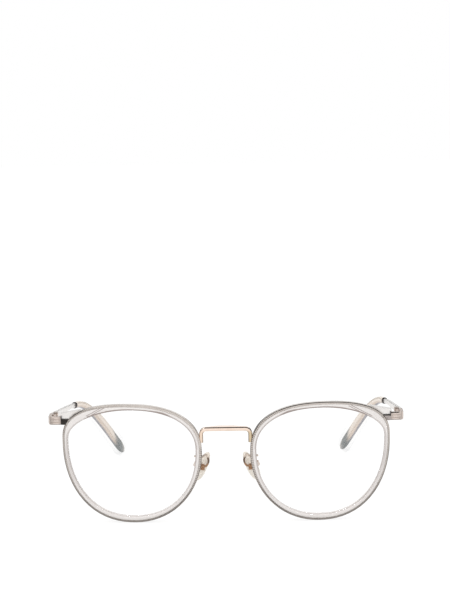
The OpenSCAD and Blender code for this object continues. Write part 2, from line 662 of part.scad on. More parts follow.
// Places through the thickness of a pad, back to face, and the size of the outline there
pad_depth_shares = [0.5, 0.3, 0, -0.25, -0.42, -0.5];
pad_size_shares = [0.8, 0.95, 1, 0.94, 0.74, 0.4];
module nose_pad() {
    color([0.97, 0.93, 0.90, 0.5]) in_pad() difference() {
        skin([for (i = [0:len(pad_depth_shares) - 1]) [for (k = [0:pad_points - 1])
            let (a = -k * 360 / pad_points, g = pad_size_shares[i])
            [pad_t * pad_depth_shares[i], g * pad_w / 2 * sin(a) * (1 - pad_taper_share * cos(a)),
                g * pad_l / 2 * cos(a)]]]);
        translate([pad_t / 2 - disc_t - seat, 0, 0]) rotate([0, 90, 0])
            cylinder(d = disc_dia + 2 * seat, h = disc_t + over, $fn = small_sides);
    }
}
module pad_cross_hole() {
    translate([pin_out, 0, 0]) rotate([90, 0, 0])
        cylinder(d = pad_screw_dia + 2 * run, h = 2 * cup_w, center = true, $fn = small_sides);
}
module pad_mount() {
    color([0.88, 0.72, 0.62]) in_pad() difference() {
        union() {
            translate([pad_t / 2 - disc_t, 0, 0]) rotate([0, 90, 0])
                cylinder(d = disc_dia, h = disc_t, $fn = small_sides);
            block([pad_t / 2 - disc_t / 2, -lug_w / 2, -lug_r], [pin_out, lug_w / 2, lug_r]);
            translate([pin_out, 0, 0]) rotate([90, 0, 0])
                cylinder(r = lug_r, h = lug_w, center = true, $fn = small_sides);
        }
        pad_cross_hole();
    }
}
module pad_screw() {
    color([0.85, 0.68, 0.58]) in_pad() translate([pin_out, cup_w / 2 + seat, 0]) rotate([90, 0, 0])
        slotted_screw(pad_screw_dia, cup_w + seat, 2 * lug_r, pad_screw_dia / 2);
}

// Pad arm: a wire soldered behind the rim, led over the nasal side and down to its cup
arm_angle = -4.5;
arm_sides = 8;
arm_substeps = 3;
function behind_rim(d, dy) = rim_to_front(on_curve(shifted(rim, arm_angle, d), dy + arm_dia / 2 + seat));
insert_inner = eyewire_w + band_nasal;
// The wire's loop in front of the pad, in the pad's frame: shares of its width, width and length
arm_loop_shares = [[0.52, -0.63, 0.49], [0.21, -0.68, 0.35], [0.15, -0.65, 0.17], [0.26, -0.5, 0.09]];
cheek_share = 0.25;
arm_foot_x = pin_out + lug_r / 2;
arm_points = concat([behind_rim(-insert_inner - arm_dia, insert_back),
    behind_rim(-insert_inner / 2, insert_back), behind_rim(0, eyewire_d / 2)],
    [for (q = arm_loop_shares) pad_to_front([q[0] * pad_w, q[1] * pad_w, q[2] * pad_l])],
    [pad_to_front([arm_foot_x, -cup_w, cheek_share * cup_h]),
        pad_to_front([arm_foot_x, cheek_t / 2 - cup_w / 2, cheek_share * cup_h])]);
function spline(p, i, t) = let (a = p[max(0, i - 1)], b = p[i], c = p[i + 1], d = p[min(len(p) - 1, i + 2)])
    (2 * b + (c - a) * t + (2 * a - 5 * b + 4 * c - d) * t * t + (3 * b - a - 3 * c + d) * t * t * t) / 2;
arm_path = concat([for (i = [0:len(arm_points) - 2], j = [0:arm_substeps - 1])
    spline(arm_points, i, j / arm_substeps)], [arm_points[len(arm_points) - 1]]);
function path_way(p, i) = let (d = p[min(len(p) - 1, i + 1)] - p[max(0, i - 1)]) d / norm(d);
function squared(x, d) = let (v = x - (x * d) * d) v / norm(v);
// One direction square to the wire at each point, carried along it without twist
arm_sides_out = [for (i = 0, x = squared([0, 0, 1], path_way(arm_path, 0)); i < len(arm_path);
    x = squared(x, path_way(arm_path, min(i + 1, len(arm_path) - 1))), i = i + 1) x];
function wire_ring(i, r) = let (x = arm_sides_out[i], y = cross(x, path_way(arm_path, i)))
    [for (k = [0:arm_sides - 1]) let (a = k * 360 / arm_sides) arm_path[i] + r * (cos(a) * x + sin(a) * y)];
module pad_arm() {
    color([0.90, 0.72, 0.62]) difference() {
        union() {
            in_front() skin([for (i = [0:len(arm_path) - 1]) wire_ring(i, arm_dia / 2)]);
            in_pad() difference() {
                block([pin_out - lug_r, -cup_w / 2, -cup_h / 2], [cup_base + cheek_t, cup_w / 2, cup_h / 2]);
                block([0, -lug_w / 2 - cup_gap, -cup_h], [cup_base, lug_w / 2 + cup_gap, cup_h]);
            }
        }
        in_pad() pad_cross_hole();
    }
}

bridge();
eyewire();  // eyewire_left
right() eyewire();  // eyewire_right
rim_insert();  // rim_insert_left
right() rim_insert();  // rim_insert_right
lens();  // lens_left
right() lens();  // lens_right
endpiece();  // endpiece_left
right() endpiece();  // endpiece_right
rim_lock_upper();  // rim_lock_upper_left
right() rim_lock_upper();  // rim_lock_upper_right
rim_lock_lower();  // rim_lock_lower_left
right() rim_lock_lower();  // rim_lock_lower_right
rim_lock_screw();  // rim_lock_screw_left
right() rim_lock_screw();  // rim_lock_screw_right
front_hinge();  // front_hinge_left
right() front_hinge();  // front_hinge_right
hinge_screw();  // hinge_screw_left
right() hinge_screw();  // hinge_screw_right
temple_hinge();  // temple_hinge_left
right() temple_hinge();  // temple_hinge_right
temple();  // temple_left
right() temple();  // temple_right
temple_collar();  // temple_collar_left
right() temple_collar();  // temple_collar_right
temple_sleeve();  // temple_sleeve_left
right() temple_sleeve();  // temple_sleeve_right
pad_arm();  // pad_arm_left
right() pad_arm();  // pad_arm_right
pad_screw();  // pad_screw_left
right() pad_screw();  // pad_screw_right
pad_mount();  // pad_mount_left
right() pad_mount();  // pad_mount_right
nose_pad();  // nose_pad_left
right() nose_pad();  // nose_pad_right
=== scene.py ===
"""Round combination spectacle frame, dressed for the studio.

The file follows the frame as it is put together: view, studio and table, then metal rims,
acetate inner rims, lenses, bridge, endpieces with their hinge barrels, rim locks, temples,
collars, sleeves, and the nose pads on their arms.
"""
import math

import bmesh
import bpy
from mathutils import Matrix, Vector
from mathutils.kdtree import KDTree


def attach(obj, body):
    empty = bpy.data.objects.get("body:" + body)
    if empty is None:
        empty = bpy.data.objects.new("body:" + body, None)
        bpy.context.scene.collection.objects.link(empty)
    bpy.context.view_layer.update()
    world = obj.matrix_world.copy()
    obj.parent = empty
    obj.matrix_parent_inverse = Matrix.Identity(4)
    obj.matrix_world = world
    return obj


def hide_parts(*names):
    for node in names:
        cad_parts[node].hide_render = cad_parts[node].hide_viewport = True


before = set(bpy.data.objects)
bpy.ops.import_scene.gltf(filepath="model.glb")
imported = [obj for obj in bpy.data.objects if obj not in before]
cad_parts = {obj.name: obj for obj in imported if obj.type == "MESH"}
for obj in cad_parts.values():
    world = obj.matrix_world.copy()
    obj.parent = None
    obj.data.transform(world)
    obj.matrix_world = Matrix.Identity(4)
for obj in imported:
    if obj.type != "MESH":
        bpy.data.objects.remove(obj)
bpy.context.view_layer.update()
SIDES = ("left", "right")

# The view of the photograph: a long lens a little above the frame, turned slightly to the
# wearer's right and rolled by one degree. The image is 450 by 600 pixels.
photo_height_px = 600
focal_px = 1800.4
film_height_mm = 36.0
camera_place = Vector((0.0135, -0.717, 0.1602))
camera_turn = math.radians(1.13)
camera_pitch = math.radians(-6.78)
camera_roll = math.radians(1.05)
nearest_seen = 0.01

camera_data = bpy.data.cameras.new("camera")
camera_data.sensor_fit = "VERTICAL"
camera_data.sensor_height = film_height_mm
camera_data.lens = film_height_mm * focal_px / photo_height_px
camera_data.clip_start = nearest_seen
camera = bpy.data.objects.new("camera", camera_data)
camera.matrix_world = (
    Matrix.Translation(camera_place)
    @ Matrix.Rotation(camera_turn, 4, "Z")
    @ Matrix.Rotation(math.pi / 2 + camera_pitch, 4, "X")
    @ Matrix.Rotation(-camera_roll, 4, "Z")
)
bpy.context.collection.objects.link(camera)
bpy.context.scene.camera = camera
bpy.context.scene.view_settings.view_transform = "Standard"


# The studio: an even white room for all soft light. Shiny metal mirrors a dark ceiling, two screens
# low in front, a dark one on the wearer's right and a pale grey one on the left, and a dark gap low
# behind the table. These draw the thin dark lines round the rims.
room_light = 0.95
mirrored_wall = 1.0
mirrored_side = 0.75
side_start = 0.6
side_full = 0.9
mirrored_ceiling = 0.04
ceiling_start = 0.42
ceiling_full = 0.62
side_lift = 0.25
screen_top = 0.16
screen_edge = 0.05
dark_screen_x = -0.41
dark_screen_light = 0.06
grey_screen_x = 0.36
grey_screen_light = 0.6
gap_dark = 0.08
gap_from_middle = 0.15
gap_start = 0.24
gap_full = 0.12
gap_behind = 0.8

world = bpy.data.worlds.new("studio")
bpy.context.scene.world = world
world.use_nodes = True
air = world.node_tree
air.nodes.clear()


def feed(tree, value, socket):
    """Gives a socket its value: a link from another socket, or a plain number or colour."""
    if isinstance(value, (int, float, tuple)):
        socket.default_value = value
    else:
        tree.links.new(value, socket)


def step(tree, operation, *values):
    """One sum in a node tree: each value is a socket or a number."""
    node = tree.nodes.new("ShaderNodeMath")
    node.operation = operation
    for socket, value in zip(node.inputs, values):
        feed(tree, value, socket)
    return node.outputs[0]


def ramp(tree, value, start, end, low=0.0, high=1.0):
    """Runs softly from low to high as the value goes from start to end."""
    node = tree.nodes.new("ShaderNodeMapRange")
    node.interpolation_type = "SMOOTHSTEP"
    for name, number in (("From Min", start), ("From Max", end), ("To Min", low), ("To Max", high)):
        node.inputs[name].default_value = number
    tree.links.new(value, node.inputs["Value"])
    return node.outputs["Result"]


def blended(tree, amount, first, second):
    """A number between two others; each is a socket or a number."""
    mix = tree.nodes.new("ShaderNodeMix")
    for name, value in (("Factor", amount), ("A", first), ("B", second)):
        feed(tree, value, mix.inputs[name])
    return mix.outputs["Result"]


direction = air.nodes.new("ShaderNodeTexCoord")
towards = air.nodes.new("ShaderNodeSeparateXYZ")
air.links.new(direction.outputs["Generated"], towards.inputs[0])
to_left, to_back, to_top = towards.outputs
sideways = step(air, "ABSOLUTE", to_left)
walls = ramp(air, sideways, side_start, side_full, mirrored_wall, mirrored_side)
upward = step(air, "MULTIPLY_ADD", sideways, side_lift, to_top)
low_behind = step(
    air, "MULTIPLY",
    ramp(air, to_top, gap_start, gap_full),
    step(air, "GREATER_THAN", to_back, gap_behind),
)
low_in_front = step(
    air, "MULTIPLY",
    ramp(air, to_top, screen_top, screen_top - screen_edge),
    step(air, "LESS_THAN", to_back, 0.0),
)
on_dark_screen = step(
    air, "MULTIPLY", low_in_front, ramp(air, to_left, dark_screen_x, dark_screen_x - screen_edge)
)
on_grey_screen = step(
    air, "MULTIPLY", low_in_front, ramp(air, to_left, grey_screen_x, grey_screen_x + screen_edge)
)
walls = blended(air, on_grey_screen, walls, grey_screen_light)
walls = blended(air, on_dark_screen, walls, dark_screen_light)
in_gap = step(
    air, "MULTIPLY", low_behind, ramp(air, sideways, gap_from_middle, gap_from_middle + screen_edge)
)
walls = blended(air, in_gap, walls, gap_dark)
mirrored = blended(air, ramp(air, upward, ceiling_start, ceiling_full), walls, mirrored_ceiling)
rays = air.nodes.new("ShaderNodeLightPath")
for_metal = blended(air, rays.outputs["Is Glossy Ray"], room_light, mirrored)
seen = step(air, "MAXIMUM", rays.outputs["Is Camera Ray"], rays.outputs["Is Transmission Ray"])
room = air.nodes.new("ShaderNodeBackground")
room.inputs["Color"].default_value = (1, 1, 1, 1)
air.links.new(blended(air, seen, for_metal, 1.0), room.inputs["Strength"])
air_out = air.nodes.new("ShaderNodeOutputWorld")
air.links.new(room.outputs[0], air_out.inputs[0])


# Two soft lamps: a strong one above on the wearer's right, and a weaker one on the other side.
# A strip light close above the wearer's right rim shows only as a pale line in its metal top.
frame_middle = (0, 0, 0.02)
strip_place = (-0.0535, -0.07, 0.08)
strip_width = 0.063
strip_depth = 0.03
strip_power = 0.0054


def softbox(name, place, aim, size, power):
    """A square lamp of the given size that faces its aim."""
    lamp = bpy.data.lights.new(name, "AREA")
    lamp.size = size
    lamp.energy = power
    box = bpy.data.objects.new(name, lamp)
    box.location = place
    box.rotation_euler = (Vector(aim) - Vector(place)).to_track_quat("-Z", "Y").to_euler()
    bpy.context.collection.objects.link(box)
    return box


softbox("softbox_over", (-0.6, -0.75, 0.95), frame_middle, size=0.5, power=1.6)
softbox("softbox_side", (0.9, -0.6, 0.5), frame_middle, size=0.6, power=0.4)
strip = softbox("strip_light", strip_place, (strip_place[0], strip_place[1], 0), strip_width, strip_power)
strip.data.shape = "RECTANGLE"
strip.data.size_y = strip_depth
strip.rotation_euler = (0, 0, 0)
strip.visible_camera = False
strip.visible_diffuse = False
strip.visible_transmission = False

# The table: a smooth white sheet. It shows white to the eye and keeps a soft shadow of the frame.
# Metal mirrors it with painted shade: dimmer under the rims but not under the bridge, in a band
# beside the temples, far out on the wearer's right, and far behind.
table_half = 3.0
table_glow = 0.80
table_keep = 0.26
table_white = 0.85
under_light = 0.42
under_rims_y = -0.064
under_near = 0.03
under_far = 0.05
bridge_half = 0.014
bridge_front = -0.07
bridge_soft = 0.004
beside_light = 0.5
beside_start = 0.08
beside_full = 0.12
beside_back = 0.145
beside_end = 0.17
screen_x = -0.3
screen_soft = 0.06
screen_light = 0.45
behind_light = 0.1
behind_start = 0.3
behind_full = 0.6

bm = bmesh.new()
bmesh.ops.create_grid(bm, x_segments=4, y_segments=4, size=table_half)
table_mesh = bpy.data.meshes.new("table")
bm.to_mesh(table_mesh)
bm.free()
table = bpy.data.objects.new("table", table_mesh)
bpy.context.collection.objects.link(table)
paper = bpy.data.materials.new("white_table")
paper.use_nodes = True
sheet = paper.node_tree
sheet.nodes.clear()


def position(tree):
    """The three coordinates of the point that is shaded, in metres on the part itself."""
    place = tree.nodes.get("Texture Coordinate") or tree.nodes.new("ShaderNodeTexCoord")
    split = tree.nodes.new("ShaderNodeSeparateXYZ")
    tree.links.new(place.outputs["Object"], split.inputs[0])
    return split.outputs["X"], split.outputs["Y"], split.outputs["Z"]


def either(tree, amount, first, second):
    """Mixes two shaders by an amount."""
    mix = tree.nodes.new("ShaderNodeMixShader")
    for socket, value in zip(mix.inputs, (amount, first, second)):
        tree.links.new(value, socket)
    return mix.outputs[0]


ray_kind = sheet.nodes.new("ShaderNodeLightPath")
glow = sheet.nodes.new("ShaderNodeEmission")
glow.inputs["Strength"].default_value = table_glow
kept = sheet.nodes.new("ShaderNodeBsdfDiffuse")
kept.inputs["Color"].default_value = (table_keep, table_keep, table_keep, 1)
lit = sheet.nodes.new("ShaderNodeAddShader")
sheet.links.new(glow.outputs[0], lit.inputs[0])
sheet.links.new(kept.outputs[0], lit.inputs[1])
bounce = sheet.nodes.new("ShaderNodeBsdfDiffuse")
bounce.inputs["Color"].default_value = (table_white, table_white, table_white, 1)
pick = either(sheet, ray_kind.outputs["Is Diffuse Ray"], lit.outputs[0], bounce.outputs[0])
sheet_x, sheet_y, _ = position(sheet)
from_centre = step(sheet, "ABSOLUTE", sheet_x)
from_rims = step(sheet, "ABSOLUTE", step(sheet, "SUBTRACT", sheet_y, under_rims_y))
beside = blended(
    sheet, ramp(sheet, from_centre, beside_back, beside_end),
    ramp(sheet, from_centre, beside_start, beside_full, 1.0, beside_light), 1.0,
)
behind = ramp(sheet, sheet_y, behind_start, behind_full, 1.0, behind_light)
by_screen = ramp(sheet, sheet_x, screen_x, screen_x - screen_soft, 1.0, screen_light)
beside = step(sheet, "MULTIPLY", beside, by_screen)
under_bridge = step(
    sheet, "MULTIPLY", ramp(sheet, from_centre, bridge_half + bridge_soft, bridge_half),
    ramp(sheet, sheet_y, bridge_front, bridge_front + bridge_soft),
)
under_rims = blended(
    sheet, under_bridge, ramp(sheet, from_rims, under_near, under_far, under_light, 1.0), 1.0
)
mirrored_sheet = sheet.nodes.new("ShaderNodeEmission")
painted_shade_in_reflection = step(sheet, "MULTIPLY", under_rims, step(sheet, "MULTIPLY", beside, behind))
sheet.links.new(painted_shade_in_reflection, mirrored_sheet.inputs["Strength"])
reflected = step(
    sheet, "GREATER_THAN", ray_kind.outputs["Is Glossy Ray"], ray_kind.outputs["Is Transmission Ray"]
)
sheet_out = sheet.nodes.new("ShaderNodeOutputMaterial")
sheet.links.new(either(sheet, reflected, pick, mirrored_sheet.outputs[0]), sheet_out.inputs["Surface"])
table_mesh.materials.append(paper)


# The two metal rims: grooved bands of drawn metal, bent round the acetate and closed behind the
# endpieces. Their outer faces carry a fine engraved hatch that shows near the nose.
same_corner = 2e-6
flat_angle = math.radians(6)
flat_shape = math.radians(60)


def smooth_piece(node, name, body, material, round_by=0.0, sharp=30.0, finish=None):
    """A merged, softly rounded copy of a CAD node, shaded smooth up to its sharp edges."""
    bm = bmesh.new()
    bm.from_mesh(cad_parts[node].data)
    bmesh.ops.remove_doubles(bm, verts=bm.verts, dist=same_corner)
    bmesh.ops.join_triangles(
        bm, faces=bm.faces, angle_face_threshold=flat_angle, angle_shape_threshold=flat_shape
    )
    sharp_angle = math.radians(sharp)
    if round_by:
        hard = [e for e in bm.edges if len(e.link_faces) == 2 and e.calc_face_angle(0) > sharp_angle]
        bmesh.ops.bevel(
            bm, geom=hard, offset=round_by, offset_type="OFFSET", segments=2, profile=0.5,
            affect="EDGES", clamp_overlap=True, material=-1,
        )
    for face in bm.faces:
        face.smooth = True
    for e in bm.edges:
        e.smooth = len(e.link_faces) != 2 or e.calc_face_angle(0) < sharp_angle
    if finish:
        finish(bm)
    mesh = bpy.data.meshes.new(name)
    bm.to_mesh(mesh)
    bm.free()
    mesh.materials.append(material)
    piece = bpy.data.objects.new(name, mesh)
    bpy.context.collection.objects.link(piece)
    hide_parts(node)
    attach(piece, body)
    return piece


def srgb(red, green, blue):
    """A colour as seen on a screen, 0 to 255, in the renderer's own scale."""
    def channel(v):
        v = v / 255
        return v / 12.92 if v <= 0.04045 else ((v + 0.055) / 1.055) ** 2.4
    return (channel(red), channel(green), channel(blue), 1.0)


def toned(tree, amount, first, second):
    """Mixes two colours in a material; each is a socket or a written colour."""
    mix = tree.nodes.new("ShaderNodeMix")
    mix.data_type = "RGBA"
    for name, value in (("Factor", amount), ("A", first), ("B", second)):
        feed(tree, value, mix.inputs[name])
    return mix.outputs["Result"]


def surface(tree, name):
    """A socket of the material's own shader."""
    return tree.nodes["Principled BSDF"].inputs[name]


def own_tone(tree):
    """The drifting colour that a plated metal or a plastic starts from."""
    return tree.nodes["Color Ramp"].outputs["Color"]


def drifting_tone(tree, deep, light, scale, detail, low, high):
    """Lays a soft cloud over the surface that runs from a deep to a light colour."""
    place = tree.nodes.new("ShaderNodeTexCoord")
    cloud = tree.nodes.new("ShaderNodeTexNoise")
    cloud.inputs["Scale"].default_value = scale
    cloud.inputs["Detail"].default_value = detail
    tree.links.new(place.outputs["Object"], cloud.inputs["Vector"])
    tone = tree.nodes.new("ShaderNodeValToRGB")
    for stop, share, colour in zip(tone.color_ramp.elements, (low, high), (deep, light)):
        stop.position = share
        stop.color = colour
    tree.links.new(cloud.outputs["Fac"], tone.inputs["Fac"])
    tree.links.new(tone.outputs["Color"], surface(tree, "Base Color"))
    return place, cloud


plate_grain = 420.0
smoother = 0.8
rougher = 1.3
mark_grain = 4000.0
mark_strength = 0.02
mark_depth = 0.0001


def plated_metal(name, light, deep, roughness):
    """Plated metal: its tone drifts a little, and fine polishing marks break up the gloss."""
    material = bpy.data.materials.new(name)
    material.use_nodes = True
    tree = material.node_tree
    surface(tree, "Metallic").default_value = 1.0
    place, cloud = drifting_tone(
        tree, deep, light, scale=plate_grain, detail=3.0, low=0.35, high=0.65
    )
    gloss = tree.nodes.new("ShaderNodeMapRange")
    gloss.inputs["To Min"].default_value = roughness * smoother
    gloss.inputs["To Max"].default_value = roughness * rougher
    tree.links.new(cloud.outputs["Fac"], gloss.inputs["Value"])
    tree.links.new(gloss.outputs["Result"], surface(tree, "Roughness"))
    marks = tree.nodes.new("ShaderNodeTexNoise")
    marks.inputs["Scale"].default_value = mark_grain
    tree.links.new(place.outputs["Object"], marks.inputs["Vector"])
    bump = tree.nodes.new("ShaderNodeBump")
    bump.inputs["Strength"].default_value = mark_strength
    bump.inputs["Distance"].default_value = mark_depth
    tree.links.new(marks.outputs["Fac"], bump.inputs["Height"])
    tree.links.new(bump.outputs["Normal"], surface(tree, "Normal"))
    return material


rim_metal = plated_metal("rim_metal", srgb(216, 208, 201), srgb(206, 197, 190), roughness=0.13)

# The hatch: fine slanting cuts, spaced evenly round each rim by the angle about its middle. They
# hold a little dark, deepened near the nose as painted shade.
hatch_count = 230
hatch_slant = 900.0
hatch_relief = 0.12
hatch_depth = 0.00006
hatch_shade = 0.6
hatch_far_shade = 0.1
hatch_near_x = 0.016
hatch_far_x = 0.03
cut_start = 0.3
cut_full = -0.5
cut_dark = srgb(104, 98, 95)
rim_middle_x = 0.035
rim_middle_z = 0.0235
rim_round = 0.00005

cuts = rim_metal.node_tree
rim_x, rim_y, rim_z = position(cuts)
side_x = step(cuts, "SUBTRACT", step(cuts, "ABSOLUTE", rim_x), rim_middle_x)
up_z = step(cuts, "SUBTRACT", rim_z, rim_middle_z)
round_rim = step(cuts, "MULTIPLY", step(cuts, "ARCTAN2", up_z, side_x), hatch_count)
slanted = step(cuts, "ADD", round_rim, step(cuts, "MULTIPLY", rim_y, hatch_slant))
ridge = step(cuts, "SINE", slanted)
engraving = cuts.nodes.new("ShaderNodeBump")
engraving.inputs["Strength"].default_value = hatch_relief
engraving.inputs["Distance"].default_value = hatch_depth
cuts.links.new(ridge, engraving.inputs["Height"])
cuts.links.new(cuts.nodes["Bump"].outputs["Normal"], engraving.inputs["Normal"])
cuts.links.new(engraving.outputs["Normal"], surface(cuts, "Normal"))
# Painted shade: the cuts are darker near the nose.
cut_share = ramp(
    cuts, step(cuts, "ABSOLUTE", rim_x), hatch_near_x, hatch_far_x, hatch_shade, hatch_far_shade
)

# Painted light: on the wearer's right the top near the nose is made less metallic, so it shows pale
# where it would mirror the dark ceiling, and its cuts hold less dark.
lit_top_low_z = 0.0265
lit_top_high_z = 0.0295
lit_top_far_x = -0.038
lit_top_near_x = -0.031
lit_top_metal_share = 0.25
lit_top_cut_share = 0.1
painted_lit_top = step(
    cuts, "MULTIPLY", ramp(cuts, rim_z, lit_top_low_z, lit_top_high_z),
    step(cuts, "MULTIPLY", ramp(cuts, rim_x, lit_top_far_x, lit_top_near_x),
         step(cuts, "LESS_THAN", rim_x, 0.0)),
)
cuts.links.new(blended(cuts, painted_lit_top, 1.0, lit_top_metal_share), surface(cuts, "Metallic"))
in_cut = step(
    cuts, "MULTIPLY", ramp(cuts, ridge, cut_start, cut_full), blended(cuts, painted_lit_top, cut_share, lit_top_cut_share)
)
cuts.links.new(toned(cuts, in_cut, own_tone(cuts), cut_dark), surface(cuts, "Base Color"))
for side in SIDES:
    smooth_piece("eyewire_" + side, "metal_rim_" + side, "front", rim_metal, rim_round)

# The acetate inner rims: translucent grey rings milled from sheet and polished. Each sits in the
# groove of its metal rim and holds the lens.
sheet_cloud = 90.0
acetate_index = 1.49


def clear_plastic(name, tint, depth_tint, roughness, clear, index=acetate_index):
    """Polished plastic that lets light through, with a tint that varies softly in the sheet."""
    material = bpy.data.materials.new(name)
    material.use_nodes = True
    tree = material.node_tree
    surface(tree, "Roughness").default_value = roughness
    surface(tree, "IOR").default_value = index
    surface(tree, "Transmission Weight").default_value = clear
    drifting_tone(tree, depth_tint, tint, scale=sheet_cloud, detail=4.0, low=0.3, high=0.7)
    return material


rim_acetate = clear_plastic(
    "rim_acetate", srgb(249, 244, 241), srgb(244, 239, 236), roughness=0.22, clear=0.08
)

# The band's inner edge is painted a shade darker as painted shade, most at the top, less by the
# nose and least by the temples. Two fine polished creases across the front of the band at the outer
# top are painted on as dark lines of painted shade.
painted_edge_shade = srgb(170, 157, 152)
edge_start_mm = 0.36
edge_full_mm = 0.22
edge_fade_low = 0.006
edge_fade_high = 0.022
temple_share = 0.35
temple_from_middle = 0.017
nose_share = 0.6
nose_from_middle = 0.014
crease_half = 0.00012
crease_gap = 0.0006
crease_ends = {
    "left": (Vector((0.0525, 0, 0.0397)), Vector((0.0464, 0, 0.0431))),
    "right": (Vector((-0.0503, 0, 0.0403)), Vector((-0.0447, 0, 0.0434))),
}
crease_room = 0.001
crease_reach = 0.02
crease_snap = 1e-7
faces_front = -0.3
faces_opening = 0.8
mm_per_metre = 1000
acetate_round = 0.00008

edge_shade_tree = rim_acetate.node_tree
edge_mark = edge_shade_tree.nodes.new("ShaderNodeVertexColor")
edge_mark.layer_name = "painted_edge_shade"
mark = edge_shade_tree.nodes.new("ShaderNodeSeparateColor")
edge_shade_tree.links.new(edge_mark.outputs["Color"], mark.inputs[0])
# Painted shade along the inner edge and in the creases.
by_opening = ramp(edge_shade_tree, mark.outputs["Red"], edge_start_mm, edge_full_mm)
painted_edge_share = step(edge_shade_tree, "MULTIPLY", by_opening, mark.outputs["Green"])
painted_edge_or_crease = step(edge_shade_tree, "MAXIMUM", painted_edge_share, mark.outputs["Blue"])
edge_shade_tree.links.new(
    toned(edge_shade_tree, painted_edge_or_crease, own_tone(edge_shade_tree), painted_edge_shade), surface(edge_shade_tree, "Base Color")
)


def marked_acetate(bm):
    """Keeps with the mesh how far each corner is from the lens opening, and where the creases are."""
    layer = bm.loops.layers.float_color.new("painted_edge_shade")
    hand = 1 if sum(v.co.x for v in bm.verts) > 0 else -1
    foot, top = crease_ends["left" if hand > 0 else "right"]
    along = (top - foot).normalized()
    square = Vector((-along.z, 0, along.x))
    for offset in [gap + half for gap in (0, crease_gap) for half in (-crease_half, crease_half)]:
        near = [f for f in bm.faces if abs(f.calc_center_median().x - foot.x) < crease_reach]
        parts = near + list({e for f in near for e in f.edges}) + list({v for f in near for v in f.verts})
        place = foot + square * offset
        bmesh.ops.bisect_plane(bm, geom=parts, dist=crease_snap, plane_co=place, plane_no=square)
    middle = Vector((hand * rim_middle_x, 0, rim_middle_z))
    bm.normal_update()

    def inward(point):
        return Vector((middle.x - point.x, 0, middle.z - point.z)).normalized()

    opening = [f for f in bm.faces if f.normal.dot(inward(f.calc_center_median())) > faces_opening]
    rim_line = [v.co for v in {v for f in opening for v in f.verts}]
    near_line = KDTree(len(rim_line))
    for count, point in enumerate(rim_line):
        near_line.insert((point.x, 0, point.z), count)
    near_line.balance()
    for face in bm.faces:
        centre = face.calc_center_median()
        off_crease = (centre - foot).dot(square)
        run = (centre - foot).dot(along)
        painted_crease = (
            face.normal.y < faces_front and -crease_room < run < (top - foot).length + crease_room
            and min(abs(off_crease), abs(off_crease - crease_gap)) < crease_half
        )
        for loop in face.loops:
            corner = loop.vert.co
            share = min(1.0, max(0.0, (corner.z - edge_fade_low) / (edge_fade_high - edge_fade_low)))
            if hand * corner.x > rim_middle_x + temple_from_middle:
                share *= temple_share
            elif hand * corner.x < rim_middle_x - nose_from_middle:
                share *= nose_share
            from_opening = near_line.find((corner.x, 0, corner.z))[2] * mm_per_metre
            loop[layer] = (from_opening, share, float(painted_crease), 1.0)


for side in SIDES:
    smooth_piece("rim_insert_" + side, "acetate_rim_" + side, "front", rim_acetate,
                 acetate_round, finish=marked_acetate)


# The lenses: clear optical plastic, ground to one curve and set in the acetate. Their coating
# leaves almost no reflection, and the low index stands for it. Soft light and shadows pass
# through them.
lens_tint = srgb(253, 254, 255)
lens_rough = 0.02
coated_index = 1.05
lens_veil = 0.12

lens_clear = bpy.data.materials.new("lens_clear")
lens_clear.use_nodes = True
glass = lens_clear.node_tree
surface(glass, "Base Color").default_value = lens_tint
surface(glass, "Roughness").default_value = lens_rough
surface(glass, "Transmission Weight").default_value = 1.0
surface(glass, "IOR").default_value = coated_index
surface(glass, "Alpha").default_value = lens_veil
for side in SIDES:
    lens = smooth_piece("lens_" + side, "clear_lens_" + side, "front", lens_clear)
    lens.visible_diffuse = False
    lens.visible_shadow = False


# The bridge: one square wire with a bend at each end, plated rose gold and polished. Its legs are
# soldered to the rims and are painted browner as painted shade, most on the wearer's left.
leg_top_z = 0.0352
leg_low_z = 0.0335
leg_shade_right = srgb(240, 218, 198)
leg_shade_left = srgb(214, 194, 164)
bridge_round = 0.00004
metal_sharp = 20

rose_gold = plated_metal("rose_gold", srgb(252, 232, 217), srgb(247, 224, 208), roughness=0.1)
legs = rose_gold.node_tree
bridge_x, _, bridge_z = position(legs)
# Painted shade on the legs, darker on the wearer's left.
leg_shade = toned(legs, step(legs, "GREATER_THAN", bridge_x, 0.0), leg_shade_right, leg_shade_left)
in_leg = ramp(legs, bridge_z, leg_top_z, leg_low_z)
legs.links.new(toned(legs, in_leg, own_tone(legs), leg_shade), surface(legs, "Base Color"))
smooth_piece("bridge", "bridge_bar", "front", rose_gold, bridge_round, metal_sharp)

# The endpieces and their hinge barrels: pale beige plated metal, bent back to the temples. The plate
# is painted darker towards the rim as painted shade. The step that bares the rim lock is painted
# nearly black as painted shade and dark reflection, and grey and matte on the wearer's left under a
# dark top edge as a paler painted reflection. Two engraved lines further out are filled with colour.
face_y = -0.0629
face_middle_z = 0.03845
step_end_x = 0.0609
step_top_z = 0.03875
step_edge = 0.0001
tone_end_x = 0.0622
line_from_middle = 0.0005
line_half = 0.00012
step_rough = 0.6
painted_dark_step = srgb(64, 61, 58)
painted_grey_step = srgb(172, 163, 159)
line_fill = srgb(208, 193, 183)
painted_rim_shade = srgb(194, 182, 175)
endpiece_round = 0.00006
barrel_round = 0.00003

endpiece_metal = plated_metal(
    "endpiece_metal", srgb(238, 225, 216), srgb(228, 214, 205), roughness=0.36
)
shaded = endpiece_metal.node_tree
end_x, end_y, end_z = position(shaded)
from_middle = step(shaded, "ABSOLUTE", end_x)
on_face = step(shaded, "LESS_THAN", end_y, face_y)
by_rim = step(shaded, "LESS_THAN", from_middle, step_end_x)
on_top = step(shaded, "GREATER_THAN", end_z, step_top_z)
